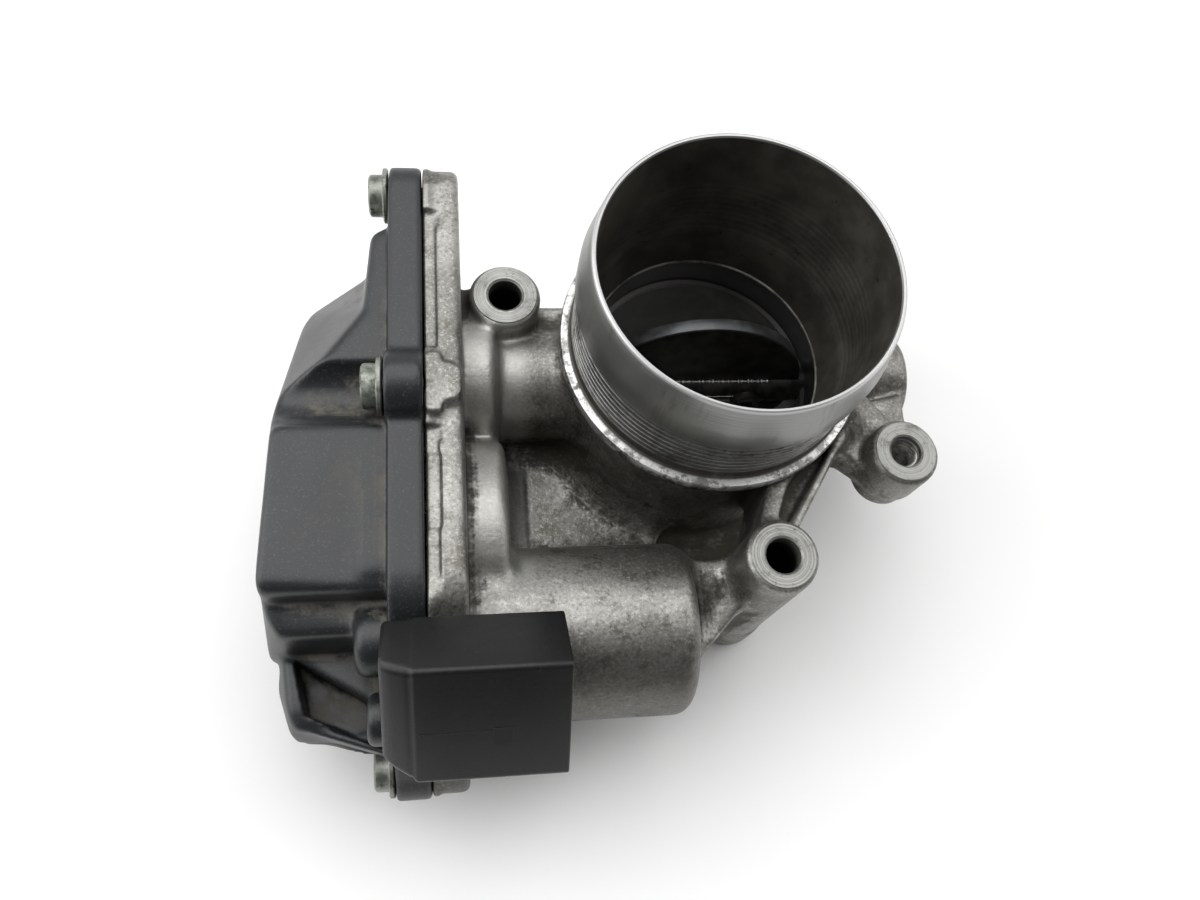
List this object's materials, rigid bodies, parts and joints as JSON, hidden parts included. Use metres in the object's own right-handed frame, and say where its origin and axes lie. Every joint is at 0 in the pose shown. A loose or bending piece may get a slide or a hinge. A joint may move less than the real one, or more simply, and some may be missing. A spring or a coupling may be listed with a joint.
{
  "type": "throttle body",
  "caption": "Electronic throttle body: cast housing with inlet tube, plate on a geared shaft, motor housing and moulded gear cover with a plug socket.",
  "frame": {"origin": "middle of the footprint at the height of the outlet flange face; the bore axis stands at x 22.2 mm, y 22.9 mm", "axes": "+Z along the bore axis towards the inlet tube; +X along the throttle shaft, away from the gear cover; +Y away from the motor"},
  "size_m": [0.1424, 0.1286, 0.08],
  "materials": {
    "casting": "rough cast aluminium, grimy, with machined faces",
    "cover_plastic": "matte blue-black moulded plastic, dusty in its valleys",
    "screw_zinc": "zinc-plated steel, slightly dirty",
    "steel": "turned steel",
    "plate_metal": "metal plate darkened by soot",
    "rubber": "matte black rubber",
    "gear_plastic": "off-white moulded gear plastic",
    "board": "green circuit board",
    "copper": "copper colour",
    "brass": "brass",
    "ferrite": "dark grey ferrite",
    "carbon": "black carbon",
    "inner_plastic": "black moulded plastic"
  },
  "bodies": {
    "body": {"housing": "casting", "gear_cover": "cover_plastic", "cover_gasket": "rubber", "bearing_gear_side": "steel", "bearing_far_side": "steel", "shaft_seal_gear_side": "rubber", "shaft_seal_far_side": "rubber", "end_plug": "screw_zinc", "return_spring": "steel", "gear_pin": "steel", "motor_can": "steel", "motor_front_plate": "steel", "motor_screw_1": "screw_zinc", "motor_screw_2": "screw_zinc", "motor_bearing_front": "brass", "motor_bearing_rear": "brass", "motor_magnet_upper": "ferrite", "motor_magnet_lower": "ferrite", "brush_holder": "inner_plastic", "brush_1": "carbon", "brush_2": "carbon", "sensor_board": "board", "sensor_chip": "inner_plastic", "outlet_seal": "rubber", "cover_screw_1": "screw_zinc", "cover_screw_2": "screw_zinc", "cover_screw_3": "screw_zinc", "cover_screw_4": "screw_zinc", "cover_screw_5": "screw_zinc", "terminal_1": "brass", "terminal_2": "brass", "terminal_3": "brass", "terminal_4": "brass", "terminal_5": "brass", "terminal_6": "brass"},
    "throttle": {"throttle_shaft": "steel", "throttle_plate": "plate_metal", "plate_screw_1": "steel", "plate_screw_2": "steel", "sector_gear": "gear_plastic", "sensor_rotor": "copper"},
    "intermediate": {"intermediate_gear": "gear_plastic"},
    "motor": {"motor_shaft": "steel", "armature": "copper", "commutator": "copper", "motor_pinion": "brass"}
  },
  "joints": [
    {"name": "throttle_turn", "type": "hinge", "parent": "body", "child": "throttle", "pos_m": [0.0222, 0.0229, 0.0285], "axis": [1, 0, 0], "range_deg": [-85, 0]},
    {"name": "intermediate_turn", "type": "hinge", "parent": "body", "child": "intermediate", "pos_m": [-0.0488, -0.0071, 0.0285], "axis": [1, 0, 0], "range_deg": [-2, 325]},
    {"name": "motor_turn", "type": "hinge", "parent": "body", "child": "motor", "pos_m": [-0.0178, -0.0341, 0.0285], "axis": [1, 0, 0], "range_deg": [-1445, 5]}
  ],
  "couplings": [
    {"joint": "intermediate_turn", "follows": "throttle_turn", "ratio": -3.8},
    {"joint": "motor_turn", "follows": "throttle_turn", "ratio": 16.927}
  ]
}
